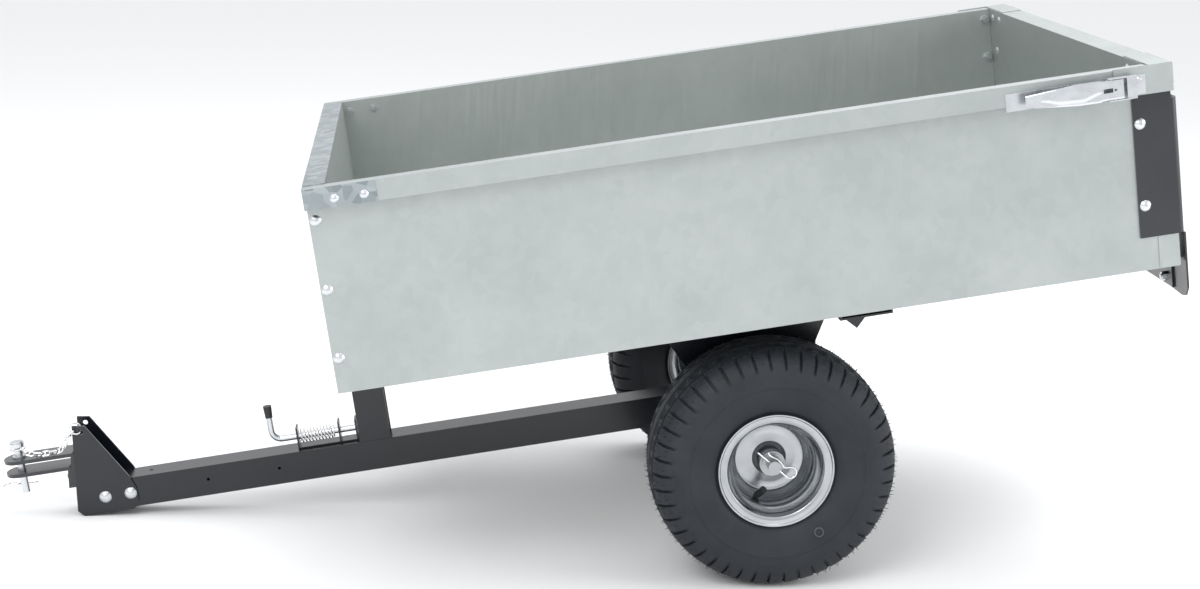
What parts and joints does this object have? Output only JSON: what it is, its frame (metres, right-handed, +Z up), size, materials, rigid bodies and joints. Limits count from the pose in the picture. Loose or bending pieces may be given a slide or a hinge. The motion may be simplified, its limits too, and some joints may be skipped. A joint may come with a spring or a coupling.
{
  "type": "tow behind cart",
  "caption": "Galvanised tipping cart with a removable pan tailgate, two turf tyres and a black drawbar with pin hitch and spring latch.",
  "frame": {"origin": "on the ground midway between the two tyres, straight below the axle's centre", "axes": "+X level along the cart from the hitch to the tailgate; +Y along the axle, to the right of someone at the hitch looking at the tailgate; +Z up"},
  "size_m": [1.8145, 0.886, 0.8209],
  "materials": {
    "galvanised": "satin galvanised sheet with a faint spangle",
    "black_steel": "satin black powder coat",
    "zinc": "bright zinc plate",
    "rim_paint": "silver paint",
    "tyre_rubber": "matt black rubber",
    "black_plastic": "matt black moulding"
  },
  "bodies": {
    "drawbar": {"tongue": "black_steel", "hitch_bracket": "black_steel", "hitch_bolts": "zinc", "clevis_strap_upper": "black_steel", "clevis_strap_lower": "black_steel", "clevis_bolts": "black_steel", "axle": "zinc", "axle_washers": "zinc", "axle_spacers": "zinc", "wheel_clips": "zinc", "latch_bracket": "black_steel", "latch_spring": "zinc", "chain_links": "zinc", "chain_ring": "zinc"},
    "wheel_left": {"tyre_left": "tyre_rubber", "rim_left": "rim_paint", "bushes_left": "black_plastic", "valve_left": "black_plastic"},
    "wheel_right": {"tyre_right": "tyre_rubber", "rim_right": "rim_paint", "bushes_right": "black_plastic", "valve_right": "black_plastic"},
    "bed": {"side_panel_left": "galvanised", "side_panel_right": "galvanised", "rear_post_left": "galvanised", "rear_post_right": "galvanised", "rear_bracket_left": "black_steel", "rear_bracket_right": "black_steel", "axle_bracket_left": "black_steel", "axle_bracket_right": "black_steel", "bed_floor": "galvanised", "front_panel": "galvanised", "front_top_rail": "galvanised", "rear_rail": "black_steel", "cross_brace": "black_steel", "bed_post": "black_steel", "latch_base_left": "zinc", "latch_base_right": "zinc", "latch_pivot_pins": "zinc", "front_bolts": "zinc", "strap_screws": "zinc", "rear_bracket_bolts": "zinc", "rail_bolts": "zinc", "floor_bolts": "zinc"},
    "tailgate": {"tailgate_panel": "galvanised", "tailgate_tab_left": "galvanised", "tailgate_tab_right": "galvanised", "latch_keeper_left": "zinc", "latch_keeper_right": "zinc", "keeper_rivets": "zinc", "tailgate_bolts": "zinc"},
    "lever_left": {"latch_lever_left": "zinc"},
    "lever_right": {"latch_lever_right": "zinc"},
    "hook_left": {"latch_hook_left": "zinc"},
    "hook_right": {"latch_hook_right": "zinc"},
    "latch_rod": {"latch_rod": "zinc", "latch_knob": "black_plastic"},
    "hitch_pin": {"hitch_pin": "zinc"},
    "hitch_clip": {"hitch_clip": "zinc"}
  },
  "joints": [
    {"name": "wheel_left_spin", "type": "hinge", "parent": "drawbar", "child": "wheel_left", "pos_m": [0, -0.307, 0.188], "axis": [0, 1, 0], "continuous": true},
    {"name": "wheel_right_spin", "type": "hinge", "parent": "drawbar", "child": "wheel_right", "pos_m": [0, 0.307, 0.188], "axis": [0, 1, 0], "continuous": true},
    {"name": "bed_tip", "type": "hinge", "parent": "drawbar", "child": "bed", "pos_m": [0, 0, 0.188], "axis": [0, 1, 0], "range_deg": [0, 41]},
    {"name": "latch_rod_pull", "type": "slide", "parent": "drawbar", "child": "latch_rod", "axis": [0.9872, 0, 0.1597], "range_m": [-0.025, 0.006], "stiffness_N_per_m": 400, "deforming": ["latch_spring"]},
    {"name": "hitch_pin_lift", "type": "slide", "parent": "drawbar", "child": "hitch_pin", "axis": [-0.1597, 0, 0.9872], "range_m": [0, 0.006]},
    {"name": "hitch_clip_pull", "type": "slide", "parent": "hitch_pin", "child": "hitch_clip", "axis": [-0.9872, 0, -0.1597], "range_m": [0, 0.075]},
    {"name": "tailgate_lift", "type": "slide", "parent": "bed", "child": "tailgate", "axis": [-0.1597, 0, 0.9872], "range_m": [0, 0.31]},
    {"name": "lever_left_swing", "type": "hinge", "parent": "bed", "child": "lever_left", "pos_m": [0.45397, -0.435, 0.7821], "axis": [-0.1597, 0, 0.9872], "range_deg": [0, 120]},
    {"name": "lever_right_swing", "type": "hinge", "parent": "bed", "child": "lever_right", "pos_m": [0.45397, 0.435, 0.7821], "axis": [0.1597, 0, -0.9872], "range_deg": [0, 120]},
    {"name": "hook_left_swing", "type": "hinge", "parent": "lever_left", "child": "hook_left", "pos_m": [0.44114, -0.436, 0.78002], "axis": [-0.1597, 0, 0.9872], "range_deg": [-120, 0]},
    {"name": "hook_right_swing", "type": "hinge", "parent": "lever_right", "child": "hook_right", "pos_m": [0.44114, 0.436, 0.78002], "axis": [0.1597, 0, -0.9872], "range_deg": [-120, 0]}
  ],
  "couplings": [
    {"joint": "hook_left_swing", "follows": "lever_left_swing", "ratio": -1},
    {"joint": "hook_right_swing", "follows": "lever_right_swing", "ratio": -1}
  ]
}
